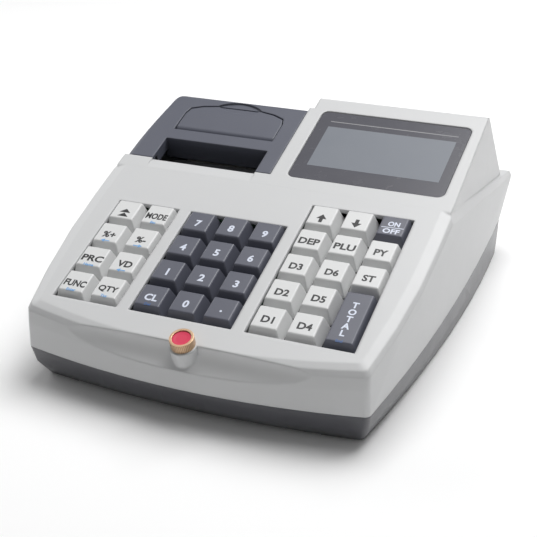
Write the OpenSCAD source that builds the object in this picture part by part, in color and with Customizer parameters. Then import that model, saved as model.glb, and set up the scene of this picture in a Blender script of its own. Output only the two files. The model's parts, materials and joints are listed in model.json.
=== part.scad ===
// Counter-top ticket register: sloped keyboard, till-roll printer and display hump.
// The deck frame (x, s, n) lies on the keyboard deck: s runs up the slope, n stands out of it.

/* [Body] */
// Width at the widest place
body_w = 199.2; // [194:1:210]
// Width of the parting line at its front corners
front_w = 183.8; // [178:0.2:188]
// Width of the rear wall at the parting line
rear_w = 188; // [184:1:194]
// How far the front bows out ahead of its corners
front_bow = 10.2; // [6:0.2:12]
// How far the base's lower edge bows out at the front
floor_bow = 6.4; // [4:0.2:8]
// Distance from the key line forward to the front corners
front_lead = 9.7; // [9:0.1:12]
// Distance from the key line back to the rear wall
rear_back = 237.8; // [230:0.2:245]
// How far the rear wall leans out on its way up
rear_lean = 7; // [4:0.5:9]
// Thickness of the moulded walls
wall = 2.5; // [2.2:0.1:2.8]
// Height of the parting line between base and upper shell
part_h = 19; // [17:0.5:21]
// How far the base's lower edge lies behind its front corners
base_tuck = 7.1; // [4:0.1:9]
// How far the base tucks in at the sides of its front corners
side_tuck = 5.2; // [3:0.1:7]
// How far the base tucks in under the rear wall
rear_tuck = 11; // [6:0.5:14]
// Gap under the base, filled by the rubber feet
foot_stand = 1; // [0.6:0.2:2]
// Radius of the rubber feet
foot_r = 7; // [5:0.5:8]

/* [Deck] */
// Slope of the keyboard deck in degrees
deck_tilt = 18; // [16:0.5:20]
// Height of the deck at the key line
deck_h = 45.6; // [44:0.5:50]
// Distance from the middle of the depth forward to the key line
key_line = 111.2; // [108:0.1:114]
// Distance from the key line to the brow, down the slope
brow_lead = 15; // [14.6:0.1:15.4]
// Width of the sloped shoulder strip beside the deck
shoulder = 6.2; // [5:0.2:7]
// Radius of the cove under the brow
cove_r = 12; // [11:0.5:13]

/* [Keys] */
// Distance between key centres
key_pitch = 19.05; // [18.6:0.05:19.4]
// Gap between neighbouring keycaps at their feet
key_gap = 0.85; // [0.7:0.05:1]
// Height of the keycap tops over the deck
key_rise = 2; // [1.5:0.25:3]
// Travel of a key
key_travel = 3; // [2:0.25:3.5]
// Height of a keycap
cap_h = 8; // [7.5:0.25:8.5]
// Width of a keycap's top face
cap_top_w = 13.4; // [12.6:0.2:14]
// Slope of a keycap's front face, measured at its foot
cap_front = 3; // [2:0.2:3.6]
// Slope of a keycap's rear face, measured at its foot
cap_rear = 1.2; // [0.8:0.2:1.8]
// Radius of the key stems
stem_r = 2.4; // [2:0.1:2.8]
// Width of a key switch housing
switch_w = 15.6; // [14:0.2:16]
// Distance between the middle key block and the side blocks
block_gap = 6.9; // [6.4:0.1:7.4]
// How much narrower each key opening is than its keys' pitches
open_trim = 1.4; // [1:0.1:1.6]

/* [Display] */
// Height of the display window along the slope
window_h = 60.7; // [56:0.5:62]
// Distance from the cover to the window
window_gap = 9.6; // [8:0.2:11]
// Distance from the window to the hump's side
window_edge = 7.3; // [6:0.1:9]
// Distance up the slope to the window's lower edge
window_s = 115.7; // [114:0.5:118]
// Thickness of the windows
glass_t = 2; // [1.5:0.1:2.1]
// Width of the frame printed round the readout
window_rim = 8; // [7:0.5:10]
// Distance up the slope to the top edge of the display hump
hump_s = 189.2; // [184:0.5:192]
// Width of the customer window on the rear slope
rear_window_w = 66; // [50:1:76]
// Height of the customer window
rear_window_h = 24; // [18:1:28]

/* [Printer] */
// Width of the cover
cover_w = 90.2; // [88:0.2:92]
// Distance up the slope to the cover's front edge
cover_s = 115.4; // [113:0.2:118]
// Length of the cover up the slope
cover_len = 62.5; // [60:0.5:64]
// Thickness of the cover's walls
cover_t = 2.2; // [1.8:0.1:2.4]
// Width of the cover beside the paper exit
exit_side = 8.9; // [8:0.1:10]
// Width of the paper exit
exit_w = 63.6; // [60:0.2:66]
// Length of the paper exit up the slope
exit_len = 18.7; // [17:0.1:20]
// Width of the paper flap
lid_w = 61.2; // [58:0.2:63]
// Length of the paper flap
lid_len = 25.7; // [22:0.1:26]
// Width of the bar between the paper exit and the flap
bar_len = 9.2; // [8:0.2:11]
// Radius of the flap's rolled front edge
roll_edge_r = 3.8; // [3.4:0.1:4.4]
// Radius of the flap's hinge pin
lid_pin_r = 1.2; // [0.8:0.1:1.6]
// Radius of the platen roller
platen_r = 6; // [5:0.25:6.5]
// Teeth on the platen gear
platen_teeth = 40; // [36:1:44]
// Teeth on the motor pinion
pinion_teeth = 12; // [10:1:14]
// Radius of the till roll
roll_r = 24; // [18:0.5:24.5]
// Width of the till roll
roll_w = 57; // [54:0.5:58]

/* [Seal] */
// Radius of the seal cup
seal_r = 6.1; // [5:0.1:7]
// Height of the seal cup over the deck
seal_h = 4.9; // [4:0.1:6]
// Thickness of the shell left round the seal cup
seal_rim = 0.85; // [0.6:0.05:1.5]

/* [Fits] */
// Gap round covers and windows
fit_gap = 0.3; // [0.2:0.05:0.4]
// Radial clearance of shafts and stems in their bores
run_gap = 0.05; // [0.03:0.01:0.09]

/* [Hidden] */
$fn = 48;
FIXED = ["base_shell", "top_shell", "printer_cover", "paper_lid", "lid_pin", "display_window",
    "lcd_module", "customer_window", "customer_lcd", "key_board", "key_switches", "board_screws",
    "main_board", "printer_frame", "print_head", "platen_roller", "platen_gear", "motor_pinion",
    "stepper_motor", "paper_roll", "tear_bar", "battery_pack", "seal_cup", "seal_wax",
    "case_screws", "rubber_feet"];
// name, block (-1 left, 0 middle, 1 right), column, row counted up the slope, rows covered, dark
KEYS = [
    ["key_func", -1, 0, 0, 1, false], ["key_qty", -1, 1, 0, 1, false],
    ["key_prc", -1, 0, 1, 1, false], ["key_vd", -1, 1, 1, 1, false],
    ["key_percent_plus", -1, 0, 2, 1, false], ["key_percent_minus", -1, 1, 2, 1, false],
    ["key_double_up", -1, 0, 3, 1, false], ["key_mode", -1, 1, 3, 1, false],
    ["key_cl", 0, 0, 0, 1, true], ["key_0", 0, 1, 0, 1, true], ["key_point", 0, 2, 0, 1, true],
    ["key_1", 0, 0, 1, 1, true], ["key_2", 0, 1, 1, 1, true], ["key_3", 0, 2, 1, 1, true],
    ["key_4", 0, 0, 2, 1, true], ["key_5", 0, 1, 2, 1, true], ["key_6", 0, 2, 2, 1, true],
    ["key_7", 0, 0, 3, 1, true], ["key_8", 0, 1, 3, 1, true], ["key_9", 0, 2, 3, 1, true],
    ["key_d1", 1, 0, 0, 1, false], ["key_d4", 1, 1, 0, 1, false], ["key_total", 1, 2, 0, 2, true],
    ["key_d2", 1, 0, 1, 1, false], ["key_d5", 1, 1, 1, 1, false],
    ["key_d3", 1, 0, 2, 1, false], ["key_d6", 1, 1, 2, 1, false], ["key_st", 1, 2, 2, 1, false],
    ["key_dep", 1, 0, 3, 1, false], ["key_plu", 1, 1, 3, 1, false], ["key_py", 1, 2, 3, 1, false],
    ["key_arrow_up", 1, 0, 4, 1, false], ["key_arrow_down", 1, 1, 4, 1, false],
    ["key_on_off", 1, 2, 4, 1, true]];

// colours
shell_white = "#e4e6e6";
slate = "#565866";
dark_slate = "#3c3d46";
key_light = "#dfe1dc";
key_dark = "#43454f";
switch_black = "#2f3036";
smoked = "#4b4e55";
readout_blue = "#8f99ab";
board_green = "#1f5a3a";
steel = "#b9bcc0";
plate_grey = "#6d7076";
motor_grey = "#8a8c90";
head_grey = "#9a9da3";
gear_cream = "#d8d6cc";
rubber_black = "#2c2d31";
paper_white = "#f4f3ee";
battery_blue = "#3a4c78";
brass = "#b08a4a";
wax_red = "#c01f2b";

// reach of helper blocks that only have to be long enough
far = 500;
key_y = -key_line;
sin_t = sin(deck_tilt);
cos_t = cos(deck_tilt);
// part-frame places of a point (s, n) of the deck frame
function deck_y(s, n) = key_y + s * cos_t - n * sin_t;
function deck_z(s, n) = deck_h + s * sin_t + n * cos_t;

// plan of the body: [front half width, front y, widest half, widest y, rear half, rear y, bow]
widest_at = 116;
side_trim = 1.3;
part_plan = [front_w / 2, key_y - front_lead, body_w / 2 - side_trim, key_y + widest_at,
    rear_w / 2, key_y + rear_back, front_bow];
floor_trim = 1.7;
floor_shift = 33;
floor_plan = [front_w / 2 - side_tuck, key_y - front_lead + base_tuck, body_w / 2 - floor_trim,
    key_y + widest_at + floor_shift, rear_w / 2 + 1, key_y + rear_back - rear_tuck, floor_bow];
// the base's plan halfway up, nearer to the upper one
bulge_share = 0.72;
bulge_plan = [for (i = [0 : 6]) floor_plan[i] + (part_plan[i] - floor_plan[i]) * bulge_share];
// height over which the rear wall leans out by rear_lean
lean_rise = 24.6;
lean = rear_lean / lean_rise;
deck_rear = (rear_back + (deck_h - part_h) * lean) / (cos_t - sin_t * lean);
// rings round the deck: inset at the sides, lead of the front, depth off the deck
corner_s = -brow_lead + front_bow;
brow_rings = [[1.4, 3.4, 1], [0, 5.4, 3], [0, 8.2, 9]];
inner_ring = [0, 4.1, 9];
ring_widest = 76;
ring_tuck = 0.7;
ridge_trim = 1.1;
function ring(p) = [front_w / 2 - ring_tuck - p[0], corner_s - p[1], body_w / 2 - p[0],
    ring_widest, body_w / 2 - p[0], deck_rear, front_bow];
ridge_plan = [front_w / 2 - shoulder, corner_s, body_w / 2 - shoulder - ridge_trim, ring_widest,
    body_w / 2 - shoulder - ridge_trim, deck_rear, front_bow];
// the sides keep their width to the rear at this height
back_h = 44;
back_inset = [1.5, 0.6, 1.6];
back_plan = [body_w / 2 - back_inset[0], key_y + widest_at / 2, body_w / 2 - back_inset[1],
    key_y + widest_at, body_w / 2 - back_inset[2], key_y + rear_back + (back_h - part_h) * lean, 0];
corner_r = 3.5;
side_steps = 10;
bow_steps = 8;
// thickness of the thin slices that the body is drawn between
slice_t = 0.01;
// axis of the cove under the brow: ahead of the brow and above the deck
cove_out = 11.1;
cove_up = 2;

// belt: the crease where the hump and the cover stand on the lower body, and its sloped edge
belt_fall = 11.6;
belt_at = 107;
belt_step = 3.5;
belt_h = deck_h + belt_at * tan(deck_tilt) - belt_step;
belt_half = body_w / 2 - 2.6;
belt_reach = 3.6;
belt_drop = 7.7;
hump_half = body_w / 2 - 2.2;
// how much narrower the hump is at the rear wall, left and right
hump_taper = [16, 2.6];
// the hump's step behind the cover, and the start of the lower slope there
hump_step = 3.2;
low_top = 4.5;
hump_foot = 225;
hump_foot_z = belt_h - (hump_foot - belt_at) * tan(belt_fall);
hump_r = 4;
hump_low = part_h + 8;
seam_s = 105;
seam_lead = 30;
// how far forward the rear slope's inner foot lies, as a share of the wall
slope_share = 1.4;

// windows and readouts
window_r = 4;
sink = 0.2;
seat_n = -glass_t - sink;
window_back_n = seat_n - wall;
lcd_inset = window_rim - 3;
lcd_depth = 7;
bay_x = cover_w - hump_half;
window_x = bay_x + window_gap;
window_w = hump_half - window_edge - window_x;
rear_slope = atan((deck_z(hump_s, 0) - hump_foot_z) / (key_y + hump_foot - deck_y(hump_s, 0)));
cover_end = cover_s + cover_len;
rear_window_x = window_x + (window_w - rear_window_w) / 2;
rear_window_t = 14;
rear_rim = 4;
rear_lcd_depth = 5;

// seal
seal_s = -brow_lead;
seal_boss_n = -20;
seal_wall = 1.4;
seal_floor = 1;
wax_low = 0.6;

// keyboard
cap_w = key_pitch - key_gap;
cap_foot_n = key_rise - cap_h;
cap_t = 1.4;
stem_foot_n = -13.5;
switch_gap = 0.6;
switch_top_n = cap_foot_n - key_travel - switch_gap;
stem_gap = 0.5;
board_n = stem_foot_n - key_travel - stem_gap;
board_t = 1.6;
mid_cols = 3;
side_cols = 2;
right_cols = 3;
left_rows = 4;
right_rows = 5;
mid_w = mid_cols * key_pitch - open_trim;
left_w = side_cols * key_pitch - open_trim;
right_w = right_cols * key_pitch - open_trim;
mid_x = -mid_w / 2 - (right_w - left_w) / 2;
left_x = mid_x - block_gap - left_w;
right_x = mid_x + mid_w + block_gap;
function block_x(b) = b < 0 ? left_x : b == 0 ? mid_x : right_x;
function key_x(k) = block_x(k[1]) - open_trim / 2 + (k[2] + 0.5) * key_pitch;
function key_s(k) = (k[3] + k[4] / 2) * key_pitch;
function cap_len(k) = k[4] * key_pitch - key_gap;
board_edge = 3;
board_x0 = left_x - board_edge;
board_x1 = right_x + right_w + board_edge;
board_s0 = 1;
board_s1 = right_rows * key_pitch + board_edge;
post_r = 2.8;
post_x = [mid_x - block_gap / 2, right_x - block_gap / 2];
post_s = [0.5 * key_pitch, 3.5 * key_pitch];
screw_r = 1;
small_head = [2, 1.2];
screw_hole = 8;
board_bite = 5;
mb_bite = 2.5;

// case screws and bosses
boss_r = 3.5;
case_screw_r = 1.5;
boss_meet = part_h - 5;
boss_inset = [13, 22];
boss_x = [front_w / 4, rear_w / 2 - boss_inset[0]];
boss_y = [key_y - boss_r, key_y + rear_back - boss_inset[1]];
head_r = 3;
head_h = 2.4;
head_web = 2;
slot_size = [4, 0.8, 1];
thread_len = 12;
bore_spare = 4;
skirt_h = 1.6;
relief_h = 0.8;
pad_w = 18;
floor_z = foot_stand + skirt_h + wall;
seat_z = foot_stand + head_h + head_web;
foot_depth = 1;
foot_front = [front_w / 2 - base_tuck - foot_r - 5, key_y + 14];
foot_rear = [rear_w / 2 - foot_r - 6, key_y + rear_back - rear_tuck - 34];

// main board and its connectors
mb_x = [-2, 78];
mb_margin = 17.8;
mb_len = 68;
mb_y = [key_y + rear_back - mb_margin - mb_len, key_y + rear_back - mb_margin];
mb_lift = 2.5;
mb_z = floor_z + mb_lift;
mb_inset = 5;
mb_post_r = 3;
chip = [20, 20, 1.8];
chip_at = [30, 14];
port_inset = 7.5;
port_y = key_y + rear_back - port_inset;
port_len = 20;
port_gap = 0.6;
port_h = part_h - mb_z - board_t - port_gap;
jack_r = 3.2;
jack_x = 12;
jack_w = 9;
jack_depth = 9;
socket_x = [28, 52];
socket_w = 15.6;
socket_open = [11.7, 6.6];
socket_depth = 12;

// battery
battery = [60, 65, 20];
battery_at = [-75, key_y + 22];

// printer mechanism, in the deck frame unless it says otherwise
mech_x = bay_x - exit_side - exit_w / 2;
exit_rear_s = cover_s + exit_len;
lid_front_s = exit_rear_s + bar_len;
hinge_s = lid_front_s + roll_edge_r;
hinge_n = -roll_edge_r - sink;
ear_w = 3.5;
ear_gap = 0.5;
ear_x = lid_w / 2 + ear_gap + ear_w / 2;
lid_t = 2.4;
lid_gap = 0.5;
// the flap's sides stop short of its middle, with a cut corner and a shallow arc
lid_short = 5.2;
lid_corner = [1.4, 5];
lid_arc = [8, 2.3];
notch_w = 23;
notch_len = 6.4;
notch_back = 1.2;
notch_depth = 1;
flank_in = 34.6;
plate_t = 2;
platen_s = cover_s + 8.6;
platen_n = -18;
platen_shaft_r = 2.4;
shaft_spare = 0.5;
gear_module = 0.6;
gear_w = 2.4;
gear_gap = 0.15;
gear_stand = 0.4;
// share of a tooth's pitch at its foot and at its tip, with their depths in modules
tooth_share = [0.29, 0.12];
tooth_depth = [1.15, 0.8];
gear_x = mech_x - flank_in - plate_t - gear_stand - gear_w;
mesh_angle = 30;
mesh_d = (platen_teeth + pinion_teeth) * gear_module / 2 + gear_gap;
pinion_s = platen_s - mesh_d * sin(mesh_angle);
pinion_n = platen_n - mesh_d * cos(mesh_angle);
mesh_turn = atan2(pinion_s - platen_s, platen_n - pinion_n);
motor_r = 9;
motor_len = 14;
motor_shaft_r = 1;
motor_hole_r = 3;
shaft_short = 2;
head_s = platen_s + platen_r + fit_gap;
head_t = 2.6;
head_top_n = -14.5;
head_pivot_n = -30;
head_tail = 2;
head_pin_r = 1.5;
roll_behind = 3.2;
roll_y = deck_y(cover_end, 0) - roll_behind;
roll_z = deck_h + 8;
roll_gap = 0.4;
core_r = 6;
trough_t = 2;
trough_low = 5;
frame_y0 = deck_y(cover_s + 4, 0);
frame_y1 = roll_y + 34;
frame_low = 8;
frame_past = 5;
recess_n = -14;
cheek_n = -7.5;
cheek_at = 4.5;
tear_n = -9;
tear_t = 0.8;
tear_w = 2.6;
tear_tip = 0.9;
tear_teeth = 40;
cover_r = 5;
// the cover's rear left corner in plan
rear_corner_r = 10;
corner_taper = hump_taper[0] * (deck_y(cover_end - rear_corner_r, 0) - key_y - belt_at)
    / (rear_back - belt_at);
rear_corner_x = corner_taper - hump_half;
// depth of the cover's rear lip
lip_n = -9;
ramp_len = 9;
ramp_drop = 1.6;

module on_deck() {
    translate([0, key_y, deck_h]) rotate([deck_tilt, 0, 0]) children();
}

// outline of the body's plan, grown by g
function half_at(p, y) = y < p[3]
    ? p[2] - (p[2] - p[0]) * pow((p[3] - y) / (p[3] - p[1]), 2)
    : p[2] - (p[2] - p[4]) * pow((y - p[3]) / (p[5] - p[3]), 2);
function side_y(p, i) = p[1] + (p[5] - p[1]) * i / side_steps;
module plan(p, g = 0, round = corner_r) {
    right = [for (i = [1 : side_steps]) [half_at(p, side_y(p, i)), side_y(p, i)]];
    left = [for (i = [side_steps : -1 : 1]) [-half_at(p, side_y(p, i)), side_y(p, i)]];
    bow = [for (i = [-bow_steps : bow_steps])
        [p[0] * i / bow_steps, p[1] - p[6] * (1 - pow(i / bow_steps, 2))]];
    offset(r = round, $fn = 24) offset(delta = g - round) polygon(concat(bow, right, left));
}
module slab(p, g = 0) {
    translate([0, 0, -slice_t]) linear_extrude(slice_t) plan(p, g);
}

// lower body up to the deck and the belt
module ring_slab(p, g = 0) {
    on_deck() translate([0, 0, -p[2]]) slab(ring(p), g);
}
module deck_loft() {
    difference() {
        hull() {
            on_deck() slab(ridge_plan);
            for (p = brow_rings) ring_slab(p);
            translate([0, 0, back_h]) slab(back_plan);
            translate([0, 0, part_h + slice_t]) slab(part_plan);
        }
        on_deck() translate([-body_w, -brow_lead - cove_out, cove_up]) rotate([0, 90, 0])
            cylinder(r = cove_r, h = 2 * body_w);
    }
}
module deck_loft_inside() {
    hull() {
        on_deck() translate([0, 0, -wall]) slab(ridge_plan, -wall);
        ring_slab(inner_ring, -wall);
        translate([0, 0, back_h]) slab(back_plan, -wall);
        translate([0, 0, part_h - 1]) slab(part_plan, -wall);
    }
}
// everything under the belt, with its sloped edge, sunk by g
module belt_room(g = 0) {
    half = belt_half - g;
    out = half + belt_reach;
    back = rear_back - belt_at + rear_lean - g;
    translate([0, key_y + belt_at, belt_h - g]) rotate([-belt_fall, 0, 0]) intersection() {
        rotate([90, 0, 0]) translate([0, 0, -far]) linear_extrude(2 * far)
            polygon([[-half, 0], [half, 0], [out, -belt_drop], [out, -far],
                [-out, -far], [-out, -belt_drop]]);
        rotate([90, 0, 90]) translate([0, 0, -far]) linear_extrude(2 * far)
            polygon([[-far, 0], [back, 0], [back + belt_reach, -belt_drop], [back + belt_reach, -far],
                [-far, -far]]);
    }
}

// side view of the hump: deck slope, rounded top edge and rear slope, sunk by g
module hump_side(top, g) {
    foot = [key_y + hump_foot - slope_share * g, hump_foot_z - g];
    crest = [deck_y(top - g, -g), deck_z(top - g, -g)];
    front_y = deck_y(seam_s, -g);
    offset(r = hump_r) offset(delta = -hump_r)
        polygon([[front_y - seam_lead, hump_low], [front_y, deck_z(seam_s, -g)],
            crest, foot, [foot[0], hump_low]]);
}
module hump_block(top, x0, x1, g = 0) {
    translate([x0, 0, 0]) rotate([90, 0, 90]) linear_extrude(x1 - x0) hump_side(top, g);
}
module hump_plan(g = 0) {
    half = hump_half - g;
    y1 = key_y + rear_back;
    linear_extrude(far)
        polygon([[-half, key_y], [half, key_y], [half, key_y + belt_at], [half - hump_taper[1], y1],
            [hump_taper[0] - half, y1], [-half, key_y + belt_at]]);
}
// hump of height hump_s on the right and up to the cover's rear edge on the left
module hump(right_x0, left_x1, g = 0) {
    intersection() {
        union() {
            difference() {
                hump_block(hump_s, right_x0, hump_half, g);
                on_deck() translate([-body_w, cover_end - g, -far])
                    cube([body_w + bay_x + hump_step + g, far, 2 * far]);
            }
            hump_block(cover_end - low_top, -hump_half, left_x1, g);
        }
        hump_plan(g);
    }
}

module key_openings() {
    for (b = [-1, 0, 1]) {
        w = b < 0 ? left_w : b == 0 ? mid_w : right_w;
        rows = b > 0 ? right_rows : left_rows;
        translate([block_x(b), 0, -2 * wall]) cube([w, rows * key_pitch, 3 * wall]);
    }
}
module rounded(w, h, r) {
    for (x = [r, w - r], y = [r, h - r]) translate([x, y]) circle(r);
    translate([r, 0]) square([w - 2 * r, h]);
    translate([0, r]) square([w, h - 2 * r]);
}
// seat for the display window, through to the readout
module window_seat() {
    translate([window_x - fit_gap, window_s - fit_gap, seat_n]) linear_extrude(2 * wall)
        rounded(window_w + 2 * fit_gap, window_h + 2 * fit_gap, window_r + fit_gap);
    translate([window_x + window_rim, window_s + window_rim, -3 * wall])
        cube([window_w - 2 * window_rim, window_h - 2 * window_rim, 4 * wall]);
}
module window_frame() {
    translate([window_x - wall, window_s - wall, window_back_n])
        cube([window_w + 2 * wall, window_h + 2 * wall, wall + glass_t]);
}
// frame of the rear slope: x, t down the slope, n out of it
module on_rear() {
    translate([0, deck_y(hump_s, 0), deck_z(hump_s, 0)]) rotate([-rear_slope, 0, 0]) children();
}
module rear_window_seat() {
    translate([rear_window_x - fit_gap, rear_window_t - fit_gap, seat_n])
        cube([rear_window_w + 2 * fit_gap, rear_window_h + 2 * fit_gap, 2 * wall]);
    translate([rear_window_x + rear_rim, rear_window_t + rear_rim, -3 * wall])
        cube([rear_window_w - 2 * rear_rim, rear_window_h - 2 * rear_rim, 4 * wall]);
}
module rear_window_frame() {
    translate([rear_window_x - wall, rear_window_t - wall, window_back_n])
        cube([rear_window_w + 2 * wall, rear_window_h + 2 * wall, wall + glass_t]);
}
// room taken by the printer cover, grown by g
module cover_room(g = 0) {
    on_deck() translate([-body_w, cover_s - g, -far])
        cube([body_w + bay_x + g, cover_len + 2 * g, 2 * far]);
}
module bosses(z0, z1, r) {
    for (i = [0, 1], side = [-1, 1])
        translate([side * boss_x[i], boss_y[i], z0]) cylinder(r = r, h = z1 - z0);
}
module seal_boss(r, n0, n1) {
    translate([0, seal_s, n0]) cylinder(r = r, h = n1 - n0);
}
module exit_ramp() {
    s0 = cover_s - ramp_len;
    s1 = cover_s + ramp_drop;
    translate([mech_x - exit_w / 2, 0, 0]) rotate([90, 0, 90]) linear_extrude(exit_w)
        polygon([[s0, 0.1], [s1, -ramp_drop], [s1, wall], [s0, wall]]);
}
module shell_outside() {
    intersection() {
        deck_loft();
        belt_room();
    }
    difference() {
        hump(bay_x, bay_x + hump_step + 1);
        cover_room(fit_gap);
    }
}
module at_posts(n) {
    for (x = post_x, s = post_s)
        translate([x, s, n]) children();
}

module top_shell() {
    color(shell_white) difference() {
        union() {
            difference() {
                shell_outside();
                intersection() {
                    deck_loft_inside();
                    belt_room(wall);
                }
                hump(bay_x + fit_gap + wall, bay_x, wall);
            }
            intersection() {
                shell_outside();
                bosses(boss_meet, far, boss_r);
            }
            intersection() {
                hump(bay_x + fit_gap, bay_x + fit_gap);
                union() {
                    on_deck() window_frame();
                    on_rear() rear_window_frame();
                }
            }
            on_deck() {
                at_posts(board_n) cylinder(r = post_r, h = -board_n - wall / 2);
                seal_boss(seal_r + seal_rim, seal_boss_n, 0);
            }
        }
        bosses(boss_meet - 1, boss_meet + thread_len + bore_spare, case_screw_r + run_gap);
        on_deck() {
            key_openings();
            window_seat();
            exit_ramp();
            at_posts(board_n - 1) cylinder(r = screw_r + run_gap, h = screw_hole);
        }
        on_rear() rear_window_seat();
        translate([0, 0, boss_meet - far / 2]) cube(far, center = true);
    }
}

// base
module skirt_relief() {
    half = front_w / 2 - pad_w - base_tuck;
    translate([-half, -2 * rear_back, -1])
        cube([2 * half, 4 * rear_back, foot_stand + relief_h + 1]);
}
module at_feet() {
    for (side = [-1, 1]) {
        translate([side * foot_front[0], foot_front[1], 0]) children();
        translate([side * foot_rear[0], foot_rear[1], 0]) children();
    }
}
module at_board_corners() {
    for (x = [mb_x[0] + mb_inset, mb_x[1] - mb_inset], y = [mb_y[0] + mb_inset, mb_y[1] - 2 * mb_inset])
        translate([x, y, 0]) children();
}
module port_holes() {
    z = mb_z + board_t - fit_gap;
    translate([jack_x - jack_w / 2 - fit_gap, port_y - port_len, z])
        cube([jack_w + 2 * fit_gap, 2 * port_len, part_h]);
    for (x = socket_x)
        translate([x - socket_w / 2 - fit_gap, port_y - port_len, z])
            cube([socket_w + 2 * fit_gap, 2 * port_len, part_h]);
}
module base_shell() {
    color(dark_slate) difference() {
        union() {
            difference() {
                hull() {
                    translate([0, 0, part_h]) slab(part_plan);
                    translate([0, 0, part_h / 2]) slab(bulge_plan);
                    translate([0, 0, foot_stand + slice_t]) slab(floor_plan);
                }
                hull() {
                    translate([0, 0, part_h + 1]) slab(part_plan, -wall);
                    translate([0, 0, floor_z]) slab(floor_plan, -wall);
                }
            }
            bosses(floor_z - 1, boss_meet, boss_r);
            at_board_corners() translate([0, 0, floor_z - 1]) cylinder(r = mb_post_r, h = mb_lift + 1);
        }
        skirt_relief();
        bosses(-1, boss_meet + 1, case_screw_r + run_gap);
        bosses(-1, seat_z, head_r + fit_gap);
        at_feet() translate([0, 0, -1]) cylinder(r = foot_r + run_gap, h = foot_stand + foot_depth + 1);
        at_board_corners() translate([0, 0, floor_z - 1]) cylinder(r = screw_r + run_gap, h = screw_hole);
        port_holes();
    }
}
module rubber_feet() {
    color(rubber_black) at_feet() cylinder(r = foot_r, h = foot_stand + foot_depth);
}
module case_screws() {
    color(steel) for (i = [0, 1], side = [-1, 1])
        translate([side * boss_x[i], boss_y[i], seat_z - head_h]) difference() {
            union() {
                cylinder(r = head_r, h = head_h);
                cylinder(r = case_screw_r, h = head_h + boss_meet - seat_z + thread_len);
            }
            for (a = [0, 90]) rotate(a) cube([slot_size[0], slot_size[1], 2 * slot_size[2]], center = true);
        }
}

// windows and readouts
module display_window() {
    color(smoked, 0.9) on_deck() translate([window_x, window_s, seat_n])
        linear_extrude(glass_t) rounded(window_w, window_h, window_r);
}
module lcd_module() {
    color(readout_blue) on_deck()
        translate([window_x + lcd_inset, window_s + lcd_inset, window_back_n - lcd_depth])
            cube([window_w - 2 * lcd_inset, window_h - 2 * lcd_inset, lcd_depth]);
}
module customer_window() {
    color(smoked, 0.9) on_rear() translate([rear_window_x, rear_window_t, seat_n])
        cube([rear_window_w, rear_window_h, glass_t]);
}
module customer_lcd() {
    inset = rear_rim / 2;
    color(readout_blue) on_rear()
        translate([rear_window_x + inset, rear_window_t + inset, window_back_n - rear_lcd_depth])
            cube([rear_window_w - rear_rim, rear_window_h - rear_rim, rear_lcd_depth]);
}

// keyboard
module cap_form(len, g) {
    foot = g > 0 ? cap_foot_n - 1 : cap_foot_n;
    top = key_rise - (g > 0 ? cap_t : 0);
    side = (cap_w - cap_top_w) / 2;
    intersection() {
        translate([-cap_w, 0, 0]) rotate([90, 0, 90]) linear_extrude(2 * cap_w)
            polygon([[-len / 2 + g, foot], [len / 2 - g, foot],
                [len / 2 - cap_rear - g, top], [-len / 2 + cap_front + g, top]]);
        translate([0, len, 0]) rotate([90, 0, 0]) linear_extrude(2 * len)
            polygon([[-cap_w / 2 + g, foot], [cap_w / 2 - g, foot],
                [cap_w / 2 - side - g, top], [-cap_w / 2 + side + g, top]]);
    }
}
module key(k) {
    color(k[5] ? key_dark : key_light) on_deck() translate([key_x(k), key_s(k), 0]) {
        difference() {
            cap_form(cap_len(k), 0);
            cap_form(cap_len(k), cap_t);
        }
        translate([0, 0, stem_foot_n]) cylinder(r = stem_r, h = key_rise - cap_t / 2 - stem_foot_n);
    }
}
module key_switches() {
    color(switch_black) on_deck() for (k = KEYS) translate([key_x(k), key_s(k), 0]) difference() {
        translate([-switch_w / 2, -switch_w / 2, board_n])
            cube([switch_w, switch_w, switch_top_n - board_n]);
        translate([0, 0, board_n - 1]) cylinder(r = stem_r + run_gap, h = switch_top_n - board_n + 2);
    }
}
module key_board() {
    color(board_green) on_deck() difference() {
        translate([board_x0, board_s0, board_n - board_t])
            cube([board_x1 - board_x0, board_s1 - board_s0, board_t]);
        at_posts(board_n - board_t - 1) cylinder(r = screw_r + run_gap, h = board_t + 2);
    }
}
module small_screw(len) {
    translate([0, 0, -small_head[1]]) cylinder(r = small_head[0], h = small_head[1]);
    cylinder(r = screw_r, h = len);
}
module board_screws() {
    color(steel) {
        on_deck() at_posts(board_n - board_t) small_screw(board_t + board_bite);
        at_board_corners() translate([0, 0, mb_z + board_t]) mirror([0, 0, 1])
            small_screw(board_t + mb_bite);
    }
}
module main_board() {
    z = mb_z + board_t;
    color(board_green) difference() {
        union() {
            translate([mb_x[0], mb_y[0], mb_z]) cube([mb_x[1] - mb_x[0], mb_y[1] - mb_y[0], board_t]);
            translate([jack_x - jack_w / 2, port_y - port_len, z]) cube([jack_w, port_len, port_h]);
            for (x = socket_x)
                translate([x - socket_w / 2, port_y - port_len, z]) cube([socket_w, port_len, port_h]);
            translate([mb_x[0] + chip_at[0], mb_y[0] + chip_at[1], z]) cube(chip);
        }
        at_board_corners() cylinder(r = screw_r + run_gap, h = deck_h);
        translate([jack_x, port_y - jack_depth, z + port_h / 2]) rotate([-90, 0, 0])
            cylinder(r = jack_r, h = port_len);
        for (x = socket_x)
            translate([x - socket_open[0] / 2, port_y - socket_depth, z + (port_h - socket_open[1]) / 2])
                cube([socket_open[0], port_len, socket_open[1]]);
    }
}
module battery_pack() {
    color(battery_blue) translate([battery_at[0], battery_at[1], floor_z]) cube(battery);
}

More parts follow.
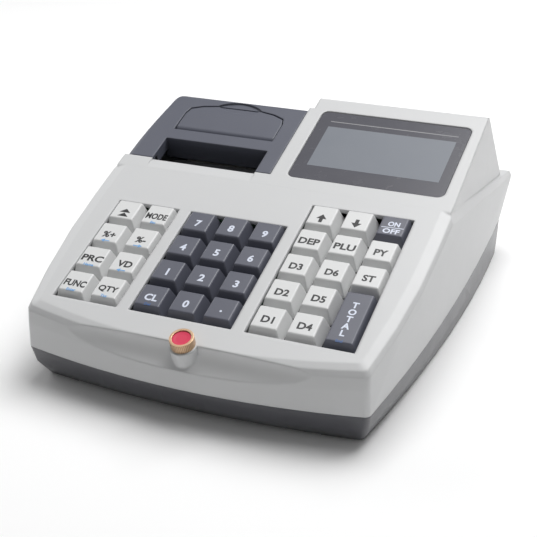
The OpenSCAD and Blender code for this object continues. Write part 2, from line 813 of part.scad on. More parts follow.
// printer cover and its flap
module left_round(x0, x1, n1, r) {
    translate([x0 + r, n1 - r]) circle(r);
    translate([x0, n1 - far]) square([x1 - x0, far - r]);
    translate([x0 + r, n1 - far]) square([x1 - x0 - r, far]);
}
module cover_form(g = 0) {
    intersection() {
        hump_block(cover_s + 2 * cover_len, -hump_half, bay_x - g, g);
        hump_plan(g);
        on_deck() translate([0, cover_s + g, 0]) rotate([90, 0, 0]) mirror([0, 0, 1])
            linear_extrude(cover_len - 2 * g) left_round(g - hump_half, bay_x - g, -g, cover_r - g);
        on_deck() translate([-body_w, 0, 0]) rotate([90, 0, 90]) linear_extrude(body_w)
            mirror([1, 0]) left_round(g - cover_end, -cover_s - g, -g, cover_r - g);
        on_deck() translate([0, 0, -far]) linear_extrude(2 * far) union() {
            left_round(rear_corner_x + g, bay_x - g, cover_end - g, rear_corner_r - g);
            translate([-body_w, 0]) square([body_w, cover_end - rear_corner_r]);
        }
    }
}
// flap outline from its front edge, grown by g; the front edge stays at y0
module lid_outline(y0, g = 0) {
    half = lid_w / 2 + g;
    side = lid_len - lid_short + g;
    arc = lid_len - lid_arc[1] + g;
    polygon([[-half, y0], [half, y0], [half, side - lid_corner[1]], [half - lid_corner[0], side],
        [half - lid_arc[0], arc], [notch_w / 2, lid_len + g], [-notch_w / 2, lid_len + g],
        [lid_arc[0] - half, arc], [lid_corner[0] - half, side], [-half, side - lid_corner[1]]]);
}
// shallow finger scoop shared by the flap and the cover
module notch() {
    d = (pow(notch_w, 2) + pow(notch_len, 2)) / (4 * notch_len);
    on_deck() translate([mech_x, lid_front_s + lid_len - notch_back, -notch_depth])
        linear_extrude(2 * notch_depth) intersection() {
            translate([0, notch_len - d]) circle(d, $fn = 96);
            translate([0, d - notch_len / 2]) circle(d, $fn = 96);
        }
}
module lid_ears(r, w) {
    for (side = [-1, 1])
        translate([mech_x + side * ear_x, hinge_s, hinge_n]) rotate([0, 90, 0])
            cylinder(r = r, h = w, center = true);
}
// the cover's rear wall ends at the lip, and its other walls stand on the belt
module cover_walls() {
    difference() {
        cover_form();
        cover_form(cover_t);
        belt_room();
        on_deck() translate([-body_w, cover_s + cover_len - cover_r, -far])
            cube([body_w, 2 * cover_r, far + lip_n]);
    }
}
module exit_cheeks() {
    translate([mech_x - exit_w / 2 - cover_t, exit_rear_s, recess_n])
        cube([exit_w + 2 * cover_t, cover_t, -recess_n - cover_t / 2]);
    for (side = [-1, 1])
        translate([mech_x + side * (exit_w + cover_t) / 2 - cover_t / 2, cover_s + cheek_at, cheek_n])
            cube([cover_t, exit_rear_s - cover_s - cheek_at + 1, -cheek_n - cover_t / 2]);
}
module printer_cover() {
    color(slate) difference() {
        union() {
            cover_walls();
            on_deck() {
                exit_cheeks();
                intersection() {
                    lid_ears(roll_edge_r, ear_w);
                    translate([-body_w, 0, -body_w]) cube([body_w, body_w, body_w - cover_t / 2]);
                }
                for (side = [-1, 1])
                    translate([mech_x + side * ear_x - ear_w / 2, hinge_s - roll_edge_r, hinge_n])
                        cube([ear_w, 2 * roll_edge_r, -hinge_n - cover_t / 2]);
            }
        }
        on_deck() {
            translate([mech_x - exit_w / 2, cover_s - wall, recess_n - 1])
                cube([exit_w, exit_len + wall, wall - recess_n]);
            translate([mech_x, lid_front_s, -cover_t - sink]) linear_extrude(2 * cover_t)
                lid_outline(-fit_gap, lid_gap);
            lid_ears(lid_pin_r + run_gap, 2 * ear_w);
        }
        notch();
    }
}
module paper_lid() {
    color(slate) difference() {
        on_deck() {
            translate([mech_x, lid_front_s, -sink - lid_t]) linear_extrude(lid_t)
                lid_outline(roll_edge_r);
            translate([mech_x - lid_w / 2, hinge_s, hinge_n]) rotate([0, 90, 0])
                cylinder(r = roll_edge_r, h = lid_w);
        }
        on_deck() translate([mech_x - lid_w, hinge_s, hinge_n]) rotate([0, 90, 0])
            cylinder(r = lid_pin_r + run_gap, h = 2 * lid_w);
        notch();
    }
}
module lid_pin() {
    len = 2 * ear_x + ear_w;
    color(steel) on_deck() translate([mech_x - len / 2, hinge_s, hinge_n]) rotate([0, 90, 0])
        cylinder(r = lid_pin_r, h = len);
}

// printing mechanism
module at_mech(s, n, x = 0) {
    on_deck() translate([mech_x + x, s, n]) rotate([0, 90, 0]) children();
}
module printer_frame() {
    past_s = hinge_s + frame_past;
    front_s = (frame_y0 - key_y + tear_n * sin_t) / cos_t;
    color(plate_grey) difference() {
        union() {
            for (side = [-1, 1])
                translate([mech_x + side * (flank_in + plate_t / 2) - plate_t / 2, 0, 0])
                    rotate([90, 0, 90]) linear_extrude(plate_t)
                        polygon([[frame_y0, floor_z], [frame_y1, floor_z], [frame_y1, roll_z - frame_low],
                            [deck_y(past_s, tear_n), deck_z(past_s, tear_n)],
                            [frame_y0, deck_z(front_s, tear_n)]]);
            difference() {
                translate([mech_x, roll_y, roll_z]) rotate([0, 90, 0]) difference() {
                    cylinder(r = roll_r + roll_gap + trough_t, h = 2 * flank_in + 1, center = true);
                    cylinder(r = roll_r + roll_gap, h = 3 * flank_in, center = true);
                }
                translate([-far, roll_y - 2 * roll_r, roll_z - trough_low])
                    cube([2 * far, 4 * roll_r, 4 * roll_r]);
            }
            translate([mech_x - flank_in - 1, frame_y0, floor_z])
                cube([2 * flank_in + 2, frame_y1 - frame_y0, plate_t]);
        }
        at_mech(platen_s, platen_n) cylinder(r = platen_shaft_r + run_gap, h = 3 * flank_in, center = true);
        at_mech(head_s + head_t / 2, head_pivot_n)
            cylinder(r = head_pin_r + run_gap, h = 3 * flank_in, center = true);
        at_mech(pinion_s, pinion_n, -flank_in) cylinder(r = motor_hole_r, h = 4 * plate_t, center = true);
    }
}
module platen_roller() {
    color(rubber_black) {
        at_mech(platen_s, platen_n) cylinder(r = platen_r, h = roll_w + 1, center = true);
        at_mech(platen_s, platen_n, gear_x - mech_x - shaft_spare)
            cylinder(r = platen_shaft_r, h = mech_x - gear_x + flank_in + plate_t + 2 * shaft_spare);
    }
}
// spur gear outline with straight-sided teeth, first tooth turned by phase
module gear_outline(teeth, phase = 0) {
    r = teeth * gear_module / 2;
    step = 360 / teeth;
    low = [tooth_share[0], r - tooth_depth[0] * gear_module];
    high = [tooth_share[1], r + tooth_depth[1] * gear_module];
    corners = [[-low[0], low[1]], [-high[0], high[1]], high, low];
    polygon([for (i = [0 : teeth - 1], c = corners)
        c[1] * [cos(phase + (i + c[0]) * step), sin(phase + (i + c[0]) * step)]]);
}
module platen_gear() {
    color(gear_cream) at_mech(platen_s, platen_n, gear_x - mech_x) difference() {
        linear_extrude(gear_w) gear_outline(platen_teeth, mesh_turn);
        translate([0, 0, -1]) cylinder(r = platen_shaft_r + run_gap, h = gear_w + 2);
    }
}
// the pinion is turned by half a tooth so that its gap meets the platen gear's tooth
module motor_pinion() {
    half_step = 180 / pinion_teeth;
    color(gear_cream) {
        at_mech(pinion_s, pinion_n, gear_x - mech_x) linear_extrude(gear_w)
            gear_outline(pinion_teeth, mesh_turn + 180 + half_step);
        at_mech(pinion_s, pinion_n, gear_x - mech_x)
            cylinder(r = motor_shaft_r, h = mech_x - gear_x - flank_in + motor_len - shaft_short);
    }
}
module stepper_motor() {
    color(motor_grey) at_mech(pinion_s, pinion_n, -flank_in) difference() {
        cylinder(r = motor_r, h = motor_len);
        translate([0, 0, -1]) cylinder(r = motor_shaft_r + run_gap, h = motor_len);
    }
}
module print_head() {
    color(head_grey) {
        on_deck() translate([mech_x - roll_w / 2, head_s, head_pivot_n - head_tail])
            cube([roll_w, head_t, head_top_n - head_pivot_n + head_tail]);
        at_mech(head_s + head_t / 2, head_pivot_n)
            cylinder(r = head_pin_r, h = 2 * flank_in + 2 * plate_t, center = true);
    }
}
module tear_bar() {
    half = flank_in + plate_t / 2;
    w = 2 * half / tear_teeth;
    edge = [for (i = [0 : tear_teeth - 1], c = [[0, 0], [0.5, -tear_tip]])
        [(i + c[0]) * w - half, c[1]]];
    color(steel) on_deck() translate([mech_x, cover_s + cheek_at, tear_n]) linear_extrude(tear_t)
        polygon(concat(edge, [[half, 0], [half, tear_w], [-half, tear_w]]));
}
module paper_roll() {
    color(paper_white) translate([mech_x, roll_y, roll_z]) rotate([0, 90, 0]) difference() {
        cylinder(r = roll_r, h = roll_w, center = true, $fn = 96);
        cylinder(r = core_r, h = 2 * roll_w, center = true);
    }
}

// seal
module seal_cup() {
    color(brass) on_deck() difference() {
        seal_boss(seal_r, 0, seal_h);
        seal_boss(seal_r - seal_wall, seal_floor, seal_h + 1);
    }
}
module seal_wax() {
    color(wax_red) on_deck() seal_boss(seal_r - seal_wall - run_gap, seal_floor, seal_h - wax_low);
}

base_shell();
top_shell();
printer_cover();
paper_lid();
lid_pin();
display_window();
lcd_module();
customer_window();
customer_lcd();
key_board();
key_switches();
board_screws();
main_board();
printer_frame();
print_head();
platen_roller();
platen_gear();
motor_pinion();
stepper_motor();
paper_roll();
tear_bar();
battery_pack();
seal_cup();
seal_wax();
case_screws();
rubber_feet();
for (k = KEYS) key(k);
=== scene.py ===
import json
import math

import bmesh
import bpy
from mathutils import Matrix, Vector


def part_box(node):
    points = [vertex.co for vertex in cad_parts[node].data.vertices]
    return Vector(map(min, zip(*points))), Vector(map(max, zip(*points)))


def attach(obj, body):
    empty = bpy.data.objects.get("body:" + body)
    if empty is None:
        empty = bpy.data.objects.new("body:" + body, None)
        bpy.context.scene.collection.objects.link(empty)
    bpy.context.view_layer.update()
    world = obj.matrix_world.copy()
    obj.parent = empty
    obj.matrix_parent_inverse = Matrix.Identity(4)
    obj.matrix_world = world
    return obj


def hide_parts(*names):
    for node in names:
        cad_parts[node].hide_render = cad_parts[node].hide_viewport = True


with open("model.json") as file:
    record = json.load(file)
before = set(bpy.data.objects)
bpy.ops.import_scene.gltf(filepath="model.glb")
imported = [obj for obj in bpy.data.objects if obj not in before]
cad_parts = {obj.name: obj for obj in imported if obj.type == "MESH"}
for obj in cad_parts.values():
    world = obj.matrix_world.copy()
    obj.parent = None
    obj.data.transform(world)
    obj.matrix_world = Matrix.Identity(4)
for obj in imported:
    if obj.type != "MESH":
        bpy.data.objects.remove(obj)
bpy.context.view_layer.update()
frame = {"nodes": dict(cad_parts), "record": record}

nodes = frame["nodes"]
bodyOf = {node: body for body, names in frame["record"]["behaviour"]["bodies"].items() for node in names}
mm = 0.001

deck = {"tilt": 18, "keyLine": -111.2, "height": 45.6}  # the keyboard deck, in mm and degrees
deckMatrix = (Matrix.Translation(Vector((0, deck["keyLine"], deck["height"])) * mm)
              @ Matrix.Rotation(math.radians(deck["tilt"]), 4, "X"))
deckInverse = deckMatrix.inverted()
deckNormal = deckMatrix.col[2].xyz


def deckPoint(x, s, n):  # a place on the deck: across, up the slope and out of it, in mm
    return deckMatrix @ (Vector((x, s, n)) * mm)


def deckBox(node):  # lowest and highest corner of a node in the deck frame, in mm
    places = [(deckInverse @ v.co) / mm for v in nodes[node].data.vertices]
    return [Vector([pick(place[i] for place in places) for i in range(3)]) for pick in (min, max)]


# camera
camera = {"place": (0.2371, -0.568, 0.324), "turn": (64.04, 0.87, 23.06), "lens": 81.0, "sensor": 36,
          "near": 0.05, "far": 20}
camData = bpy.data.cameras.new("camera")
camData.lens = camera["lens"]
camData.sensor_width = camera["sensor"]
camData.clip_start = camera["near"]
camData.clip_end = camera["far"]
camObject = bpy.data.objects.new("camera", camData)
camObject.location = camera["place"]
camObject.rotation_euler = [math.radians(a) for a in camera["turn"]]
bpy.context.scene.collection.objects.link(camObject)
bpy.context.scene.camera = camObject
print("camera placed")


# helpers for meshes
def addObject(name, bm, finish, body, smoothAngle=0, replaced=()):
    bm.normal_update()
    mesh = bpy.data.meshes.new(name)
    bm.to_mesh(mesh)
    bm.free()
    mesh.materials.append(finishes[finish])
    if smoothAngle:
        mesh.shade_smooth()
        mesh.set_sharp_from_angle(angle=math.radians(smoothAngle))
    piece = bpy.data.objects.new(name, mesh)
    bpy.context.scene.collection.objects.link(piece)
    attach(piece, body)
    if replaced:
        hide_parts(*replaced)
    return piece


merge = {"distance": 1e-6, "flatAngle": 0.4}  # in metres and degrees


def nodeCopy(name):  # a CAD node's mesh as one closed surface
    bm = bmesh.new()
    bm.from_mesh(nodes[name].data)
    bmesh.ops.remove_doubles(bm, verts=bm.verts, dist=merge["distance"])
    return bm


def flatCopy(name):  # the same with its flat areas joined
    bm = nodeCopy(name)
    bmesh.ops.dissolve_limit(bm, angle_limit=math.radians(merge["flatAngle"]), verts=bm.verts,
                             edges=bm.edges)
    return bm


# shared shader groups
def newGroup(name, inputs, outputs):
    tree = bpy.data.node_groups.new(name, "ShaderNodeTree")
    for kind, label, value in inputs:
        socket = tree.interface.new_socket(label, in_out="INPUT", socket_type=kind)
        socket.default_value = value
    for kind, label in outputs:
        tree.interface.new_socket(label, in_out="OUTPUT", socket_type=kind)
    return tree, tree.nodes.new("NodeGroupInput"), tree.nodes.new("NodeGroupOutput")


def addNode(tree, kind, **values):
    node = tree.nodes.new(kind)
    for key, value in values.items():
        if key in node.inputs:
            node.inputs[key].default_value = value
        else:
            setattr(node, key, value)
    return node


def mathNode(tree, operation, a, b=0.0):
    node = tree.nodes.new("ShaderNodeMath")
    node.operation = operation
    for socket, value in zip(node.inputs, (a, b)):
        if isinstance(value, (int, float)):
            socket.default_value = value
        else:
            tree.links.new(value, socket)
    return node.outputs[0]


def mixColour(tree, factor, a, b):
    node = tree.nodes.new("ShaderNodeMix")
    node.data_type = "RGBA"
    for index, value in ((0, factor), (6, a), (7, b)):
        if isinstance(value, bpy.types.NodeSocket):
            tree.links.new(value, node.inputs[index])
        else:
            node.inputs[index].default_value = value
    return node.outputs[2]


# fine moulded grain with slow shade changes, handling marks and settled dust
def makeMouldedGroup():
    tree, gin, gout = newGroup("mouldedPlastic", [
        ("NodeSocketColor", "Colour", (0.8, 0.8, 0.8, 1)), ("NodeSocketFloat", "Grain Scale", 2600.0),
        ("NodeSocketFloat", "Gloss", 0.4), ("NodeSocketFloat", "Shade", 0.06),
        ("NodeSocketFloat", "Dust", 0.1)],
        [("NodeSocketColor", "Colour"), ("NodeSocketFloat", "Roughness"), ("NodeSocketFloat", "Height")])
    coord = tree.nodes.new("ShaderNodeTexCoord").outputs["Object"]

    def noise(scale, detail, rough=0.5):
        node = addNode(tree, "ShaderNodeTexNoise", Detail=detail, Roughness=rough)
        tree.links.new(coord, node.inputs["Vector"])
        if isinstance(scale, bpy.types.NodeSocket):
            tree.links.new(scale, node.inputs["Scale"])
        else:
            node.inputs["Scale"].default_value = scale
        return node.outputs["Fac"]

    moulded = {"grainHeight": 0.5, "cloudScale": 22.0, "smearScale": 85.0, "smearDepth": 0.16,
               "speckScale": 700.0, "speckLeast": 0.7, "dustColour": (0.62, 0.6, 0.57, 1)}
    grain = noise(gin.outputs["Grain Scale"], 2.0, 0.6)
    cloud = noise(moulded["cloudScale"], 3.0)
    smear = noise(moulded["smearScale"], 4.0, 0.65)
    shade = mathNode(tree, "MULTIPLY", mathNode(tree, "SUBTRACT", cloud, 0.5), gin.outputs["Shade"])
    bright = mathNode(tree, "ADD", shade, 1.0)
    tinted = addNode(tree, "ShaderNodeVectorMath", operation="SCALE")
    tree.links.new(gin.outputs["Colour"], tinted.inputs[0])
    tree.links.new(bright, tinted.inputs["Scale"])
    normal = tree.nodes.new("ShaderNodeNewGeometry").outputs["Normal"]
    split = tree.nodes.new("ShaderNodeSeparateXYZ")
    tree.links.new(normal, split.inputs[0])
    up = mathNode(tree, "MAXIMUM", split.outputs["Z"])
    speck = noise(moulded["speckScale"], 3.0, 0.7)
    dustSpot = mathNode(tree, "GREATER_THAN", speck, moulded["speckLeast"])
    dust = mathNode(tree, "MULTIPLY", mathNode(tree, "MULTIPLY", dustSpot, up), gin.outputs["Dust"])
    colour = mixColour(tree, dust, tinted.outputs[0], moulded["dustColour"])
    tree.links.new(colour, gout.inputs["Colour"])
    smudge = mathNode(tree, "MULTIPLY", mathNode(tree, "SUBTRACT", smear, 0.5), moulded["smearDepth"])
    gloss = mathNode(tree, "ADD", gin.outputs["Gloss"], smudge)
    tree.links.new(mathNode(tree, "ADD", gloss, dust), gout.inputs["Roughness"])
    tree.links.new(mathNode(tree, "MULTIPLY", grain, moulded["grainHeight"]), gout.inputs["Height"])
    return tree


mouldedGroup = makeMouldedGroup()


def newMaterial(name):
    material = bpy.data.materials.new(name)
    material.use_nodes = True
    return material, material.node_tree, material.node_tree.nodes["Principled BSDF"]


def objectNoise(tree, scale, detail):
    noise = addNode(tree, "ShaderNodeTexNoise", Scale=scale, Detail=detail)
    tree.links.new(tree.nodes.new("ShaderNodeTexCoord").outputs["Object"], noise.inputs["Vector"])
    return noise.outputs["Fac"]


def addBump(tree, shader, height, distance):
    bump = addNode(tree, "ShaderNodeBump", Strength=1.0, Distance=distance)
    tree.links.new(height, bump.inputs["Height"])
    tree.links.new(bump.outputs["Normal"], shader.inputs["Normal"])
    return bump


# moulded plastic; bump is in metres, and soften rounds the shading of edges by a radius in mm
def plastic(name, colour, gloss=0.4, grainScale=2600, bump=0.00002, shade=0.06, dust=0.1, coat=0.0,
            soften=0.0):
    material, tree, shader = newMaterial(name)
    group = tree.nodes.new("ShaderNodeGroup")
    group.node_tree = mouldedGroup
    for label, value in (("Colour", (*colour, 1)), ("Grain Scale", grainScale), ("Gloss", gloss),
                         ("Shade", shade), ("Dust", dust)):
        group.inputs[label].default_value = value
    bumpNode = addBump(tree, shader, group.outputs["Height"], bump)
    if soften:
        rounded = tree.nodes.new("ShaderNodeBevel")
        rounded.samples = 8
        rounded.inputs["Radius"].default_value = soften * mm
        tree.links.new(rounded.outputs["Normal"], bumpNode.inputs["Normal"])
    tree.links.new(group.outputs["Colour"], shader.inputs["Base Color"])
    tree.links.new(group.outputs["Roughness"], shader.inputs["Roughness"])
    shader.inputs["Coat Weight"].default_value = coat
    shader.inputs["Coat Roughness"].default_value = 0.2
    return material


# brushed or plated metal
def metal(name, colour, gloss):
    brush = {"stretch": (4, 300, 300), "bump": 0.00001, "rough": 0.22, "darker": 0.78}
    material, tree, shader = newMaterial(name)
    mapping = addNode(tree, "ShaderNodeMapping", Scale=brush["stretch"])
    tree.links.new(tree.nodes.new("ShaderNodeTexCoord").outputs["Object"], mapping.inputs["Vector"])
    lines = addNode(tree, "ShaderNodeTexNoise", Scale=8.0, Detail=3.0)
    tree.links.new(mapping.outputs[0], lines.inputs["Vector"])
    stain = objectNoise(tree, 60.0, 4.0)
    dark = tuple(c * brush["darker"] for c in colour)
    tree.links.new(mixColour(tree, stain, (*colour, 1), (*dark, 1)), shader.inputs["Base Color"])
    rough = mathNode(tree, "ADD", mathNode(tree, "MULTIPLY", lines.outputs["Fac"], brush["rough"]), gloss)
    tree.links.new(rough, shader.inputs["Roughness"])
    addBump(tree, shader, lines.outputs["Fac"], brush["bump"])
    shader.inputs["Metallic"].default_value = 1.0
    return material


finishes = {
    "shell": plastic("shellPlastic", (0.58, 0.585, 0.59), gloss=0.42, bump=0.000012, shade=0.03,
                     coat=0.08, soften=1.8),
    "base": plastic("basePlastic", (0.056, 0.057, 0.067), gloss=0.4, grainScale=1900, bump=0.00003,
                    coat=0.5, soften=1.5),
    "cover": plastic("coverPlastic", (0.092, 0.098, 0.127), gloss=0.46, grainScale=2100, bump=0.00002,
                     soften=1.2),
    "keyLight": plastic("keyLight", (0.675, 0.68, 0.68), gloss=0.38, bump=0.00001, shade=0.03, dust=0.05),
    "keyDark": plastic("keyDark", (0.105, 0.11, 0.14), gloss=0.4, bump=0.000012, shade=0.05, dust=0.06),
    "switch": plastic("switchPlastic", (0.02, 0.02, 0.022), gloss=0.55),
    "gear": plastic("gearPlastic", (0.7, 0.67, 0.58), gloss=0.32),
    "rubber": plastic("footRubber", (0.02, 0.02, 0.021), gloss=0.75, grainScale=1500, bump=0.00004),
    "wax": plastic("sealWax", (0.68, 0.03, 0.09), gloss=0.42, grainScale=900, bump=0.00004, shade=0.3,
                   dust=0.0),
    "battery": plastic("batterySleeve", (0.03, 0.07, 0.2), gloss=0.3, grainScale=500, bump=0.00002),
    "steel": metal("platedSteel", (0.6, 0.61, 0.62), 0.24),
    "frame": metal("frameSteel", (0.42, 0.43, 0.45), 0.32),
    "motor": metal("motorCan", (0.5, 0.5, 0.52), 0.28),
}
print("plastics and metals made")


# green lacquered board with tracks and solder points
def boardMaterial():
    board = {"trackScale": 160.0, "dotScale": 420.0, "dotSize": 0.12, "solder": (0.5, 0.5, 0.48, 1),
             "rough": 0.38, "solderRough": -0.1, "bump": 0.00003}
    material, tree, shader = newMaterial("circuitBoard")
    coord = tree.nodes.new("ShaderNodeTexCoord").outputs["Object"]
    tracks = addNode(tree, "ShaderNodeTexBrick", Scale=board["trackScale"], offset=0.37, squash=0.7,
                     Color1=(0.006, 0.11, 0.045, 1), Color2=(0.008, 0.13, 0.05, 1),
                     Mortar=(0.02, 0.2, 0.08, 1))
    tree.links.new(coord, tracks.inputs["Vector"])
    dots = addNode(tree, "ShaderNodeTexVoronoi", Scale=board["dotScale"])
    tree.links.new(coord, dots.inputs["Vector"])
    solder = mathNode(tree, "LESS_THAN", dots.outputs["Distance"], board["dotSize"])
    tree.links.new(mixColour(tree, solder, tracks.outputs["Color"], board["solder"]),
                   shader.inputs["Base Color"])
    smooth = mathNode(tree, "MULTIPLY", solder, board["solderRough"])
    tree.links.new(mathNode(tree, "ADD", smooth, board["rough"]), shader.inputs["Roughness"])
    addBump(tree, shader, mathNode(tree, "ADD", tracks.outputs["Fac"], solder), board["bump"])
    return material


# wound paper: rings on the ends, faint fibres on the outside
def paperMaterial():
    paper = {"ringScale": 900.0, "fibreScale": 1400.0, "dark": (0.72, 0.71, 0.67, 1),
             "light": (0.83, 0.82, 0.79, 1), "fibre": (0.8, 0.79, 0.76, 1), "bump": 0.00002}
    material, tree, shader = newMaterial("rollPaper")
    centre = (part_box("paper_roll")[0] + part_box("paper_roll")[1]) / 2
    mapping = addNode(tree, "ShaderNodeMapping", Location=(0, -centre.y, -centre.z), Scale=(0, 1, 1))
    tree.links.new(tree.nodes.new("ShaderNodeTexCoord").outputs["Object"], mapping.inputs["Vector"])
    rings = addNode(tree, "ShaderNodeTexWave", wave_type="RINGS", rings_direction="SPHERICAL",
                    Scale=paper["ringScale"], Distortion=0.6)
    tree.links.new(mapping.outputs[0], rings.inputs["Vector"])
    fibre = objectNoise(tree, paper["fibreScale"], 4.0)
    shade = mixColour(tree, rings.outputs["Fac"], paper["dark"], paper["light"])
    tree.links.new(mixColour(tree, fibre, shade, paper["fibre"]), shader.inputs["Base Color"])
    shader.inputs["Roughness"].default_value = 0.8
    addBump(tree, shader, fibre, paper["bump"])
    return material


# flat plate with a slowly changing colour and faint smears
def plateMaterial(name, colour, second, gloss, scale=30.0):
    plate = {"smearScale": 140.0, "smearDepth": 0.12, "specular": 0.3}
    material, tree, shader = newMaterial(name)
    cloud = objectNoise(tree, scale, 2.0)
    tree.links.new(mixColour(tree, cloud, (*colour, 1), (*second, 1)), shader.inputs["Base Color"])
    smear = mathNode(tree, "MULTIPLY", objectNoise(tree, plate["smearScale"], 5.0), plate["smearDepth"])
    tree.links.new(mathNode(tree, "ADD", smear, gloss), shader.inputs["Roughness"])
    shader.inputs["Specular IOR Level"].default_value = plate["specular"]
    return material


# printed ink, slightly worn
def inkMaterial(name, colour):
    ink = {"wornScale": 900.0, "paler": 1.12, "lift": 0.01, "rough": 0.42}
    material, tree, shader = newMaterial(name)
    faded = tuple(min(1, c * ink["paler"] + ink["lift"]) for c in colour)
    tree.links.new(mixColour(tree, objectNoise(tree, ink["wornScale"], 3.0), (*colour, 1), (*faded, 1)),
                   shader.inputs["Base Color"])
    shader.inputs["Roughness"].default_value = ink["rough"]
    return material


# turned brass with a milled edge round the seal's axis
def brassMaterial():
    brass = {"s": -15, "teeth": 44.0, "bump": 0.0001, "shadow": 0.55, "metallic": 0.75, "rough": 0.34,
             "light": (0.78, 0.55, 0.36, 1), "dark": (0.62, 0.4, 0.24, 1), "groove": (0.2, 0.11, 0.05, 1)}
    material, tree, shader = newMaterial("milledBrass")
    turned = addNode(tree, "ShaderNodeMapping", vector_type="TEXTURE", Location=deckPoint(0, brass["s"], 0),
                     Rotation=(math.radians(deck["tilt"]), 0, 0))
    tree.links.new(tree.nodes.new("ShaderNodeTexCoord").outputs["Object"], turned.inputs["Vector"])
    split = tree.nodes.new("ShaderNodeSeparateXYZ")
    tree.links.new(turned.outputs[0], split.inputs[0])
    around = mathNode(tree, "ARCTAN2", split.outputs["Y"], split.outputs["X"])
    teeth = mathNode(tree, "SINE", mathNode(tree, "MULTIPLY", around, brass["teeth"]))
    groove = mathNode(tree, "ADD", mathNode(tree, "MULTIPLY", teeth, 0.5), 0.5)
    facing = addNode(tree, "ShaderNodeVectorMath", operation="DOT_PRODUCT")
    tree.links.new(tree.nodes.new("ShaderNodeNewGeometry").outputs["Normal"], facing.inputs[0])
    facing.inputs[1].default_value = deckNormal
    side = mathNode(tree, "LESS_THAN", mathNode(tree, "ABSOLUTE", facing.outputs["Value"]), 0.5)
    depth = mathNode(tree, "MULTIPLY", groove, side)
    bare = mixColour(tree, objectNoise(tree, 180.0, 4.0), brass["light"], brass["dark"])
    shadow = mathNode(tree, "MULTIPLY", depth, brass["shadow"])
    tree.links.new(mixColour(tree, shadow, bare, brass["groove"]), shader.inputs["Base Color"])
    addBump(tree, shader, depth, brass["bump"])
    shader.inputs["Metallic"].default_value = brass["metallic"]
    shader.inputs["Roughness"].default_value = brass["rough"]
    return material


finishes["board"] = boardMaterial()
finishes["brass"] = brassMaterial()
finishes["paper"] = paperMaterial()
finishes["rim"] = plateMaterial("windowRim", (0.085, 0.085, 0.1), (0.1, 0.1, 0.116), 0.2)
finishes["readout"] = plateMaterial("readoutPanel", (0.18, 0.195, 0.225), (0.215, 0.23, 0.255), 0.3, 18.0)
# pale grey for the strip above the readout: a painted reflection of the window's thickness
finishes["readoutReflection"] = plateMaterial("readoutReflection", (0.3, 0.3, 0.31), (0.33, 0.33, 0.34), 0.3)
finishes["inkDark"] = inkMaterial("inkDark", (0.012, 0.012, 0.014))
finishes["inkPale"] = inkMaterial("inkPale", (0.62, 0.66, 0.76))
finishes["inkBlue"] = inkMaterial("inkBlue", (0.16, 0.36, 0.66))
finishes["inkDeepBlue"] = inkMaterial("inkDeepBlue", (0.04, 0.1, 0.26))
print("boards, paper, plates and inks made")

# CAD nodes that keep their own mesh
nodeFinish = {
    "lid_pin": "steel", "lcd_module": "readout", "customer_lcd": "readout", "key_board": "board",
    "key_switches": "switch", "board_screws": "steel", "main_board": "board", "printer_frame": "frame",
    "print_head": "frame", "platen_roller": "rubber", "platen_gear": "gear", "motor_pinion": "gear",
    "stepper_motor": "motor", "paper_roll": "paper", "tear_bar": "steel", "battery_pack": "battery",
    "case_screws": "steel", "rubber_feet": "rubber",
}
for name, finish in nodeFinish.items():
    for materialSlot in nodes[name].material_slots:
        materialSlot.link = "OBJECT"
        materialSlot.material = finishes[finish]
print("inner pieces painted")


# dressed copies of moulded parts
def dressed(name, pieceName, bm, finish, smoothAngle):
    piece = addObject(pieceName, bm, finish, bodyOf[name], smoothAngle, [name])
    modifier = piece.modifiers.new("weighted normals", "WEIGHTED_NORMAL")
    modifier.keep_sharp = True


def softCopy(name, pieceName, finish, slot, width, segments, chosen, smoothAngle=35):
    bm = flatCopy(name)
    edges = [e for e in bm.edges if e.is_manifold and chosen(e)]
    bmesh.ops.bevel(bm, geom=edges, offset=width * mm, offset_type="OFFSET", affect="EDGES",
                    segments=segments, profile=0.5, clamp_overlap=True, material=-1)
    dressed(name, pieceName, bm, finish, smoothAngle)


def deckMiddle(edge):  # an edge's middle in the deck frame, in mm
    return (deckInverse @ ((edge.verts[0].co + edge.verts[1].co) / 2)) / mm


def sharpOut(edge, least=50):  # whether an outward edge turns by more than so many degrees
    return math.degrees(edge.calc_face_angle_signed(0)) > least


keycap = {"bevel": 0.75, "segments": 4, "foot": -5.9, "sharp": 20}
darkKeys = [row["node"] for row in frame["record"]["subparts"] if row["material_slot"] == "key_dark"]
for name in sorted(n for n in nodes if n.startswith("key_") and n not in ("key_board", "key_switches")):
    dark = name in darkKeys
    softCopy(name, name.replace("key_", "cap_"), "keyDark" if dark else "keyLight",
             "key_dark" if dark else "key_light", keycap["bevel"], keycap["segments"],
             lambda e: deckMiddle(e).z > keycap["foot"] and sharpOut(e, keycap["sharp"]))
print("keycaps rounded")

# printed legends, with places from a key's centre, widths and heights in mm
legend = {"thick": 0.05, "sunk": 0.02, "place": (0.3, -0.6), "digit": 4.9, "letter": 4.6, "bold": 0.034}
longLegend = {"DEP": 11.2, "PLU": 11.4, "PRC": 12.2, "MODE": 12.2, "FUNC": 12.2, "QTY": 11.0}
capText = {f"key_{digit}": str(digit) for digit in range(10)}
capText.update({f"key_d{digit}": f"D{digit}" for digit in range(1, 7)})
capWords = ("func", "qty", "prc", "vd", "mode", "cl", "st", "dep", "plu", "py")
capText.update({f"key_{word}": word.upper() for word in capWords})
capText.update({"key_percent_plus": "%+", "key_percent_minus": "%-"})


